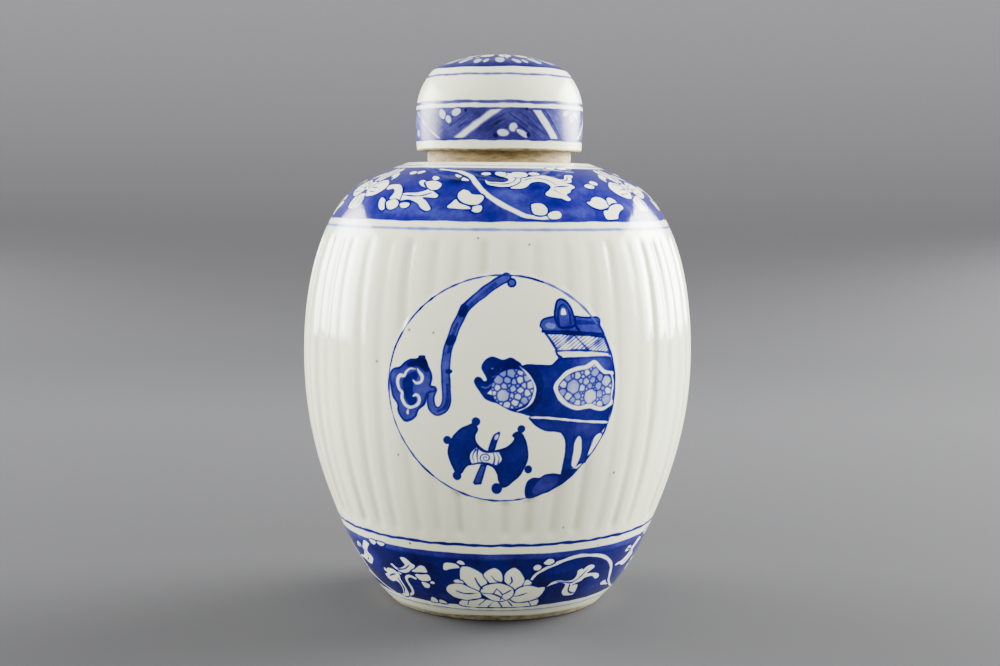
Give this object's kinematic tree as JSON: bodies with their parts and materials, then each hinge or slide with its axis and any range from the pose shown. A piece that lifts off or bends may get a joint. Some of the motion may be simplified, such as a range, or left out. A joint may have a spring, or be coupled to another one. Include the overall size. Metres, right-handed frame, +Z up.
{
  "type": "ginger jar",
  "caption": "Ovoid porcelain ginger jar with moulded ribs, blue painted bands and roundels, and a cap lid that lifts off its neck.",
  "frame": {"origin": "centre of the foot ring, on the surface that the jar stands on", "axes": "+Z up along the jar's axis; -Y faces the front, where the middle roundel is"},
  "size_m": [0.1716, 0.1716, 0.24],
  "materials": {
    "jar_porcelain": "gloss",
    "neck_biscuit": "matte",
    "lid_porcelain": "gloss"
  },
  "bodies": {
    "jar": {"jar_body": "jar_porcelain", "neck": "neck_biscuit"},
    "lid": {"lid": "lid_porcelain"}
  },
  "joints": [
    {"name": "lid_lift", "type": "slide", "parent": "jar", "child": "lid", "axis": [0, 0, 1], "range_m": [0, 0.06]}
  ]
}
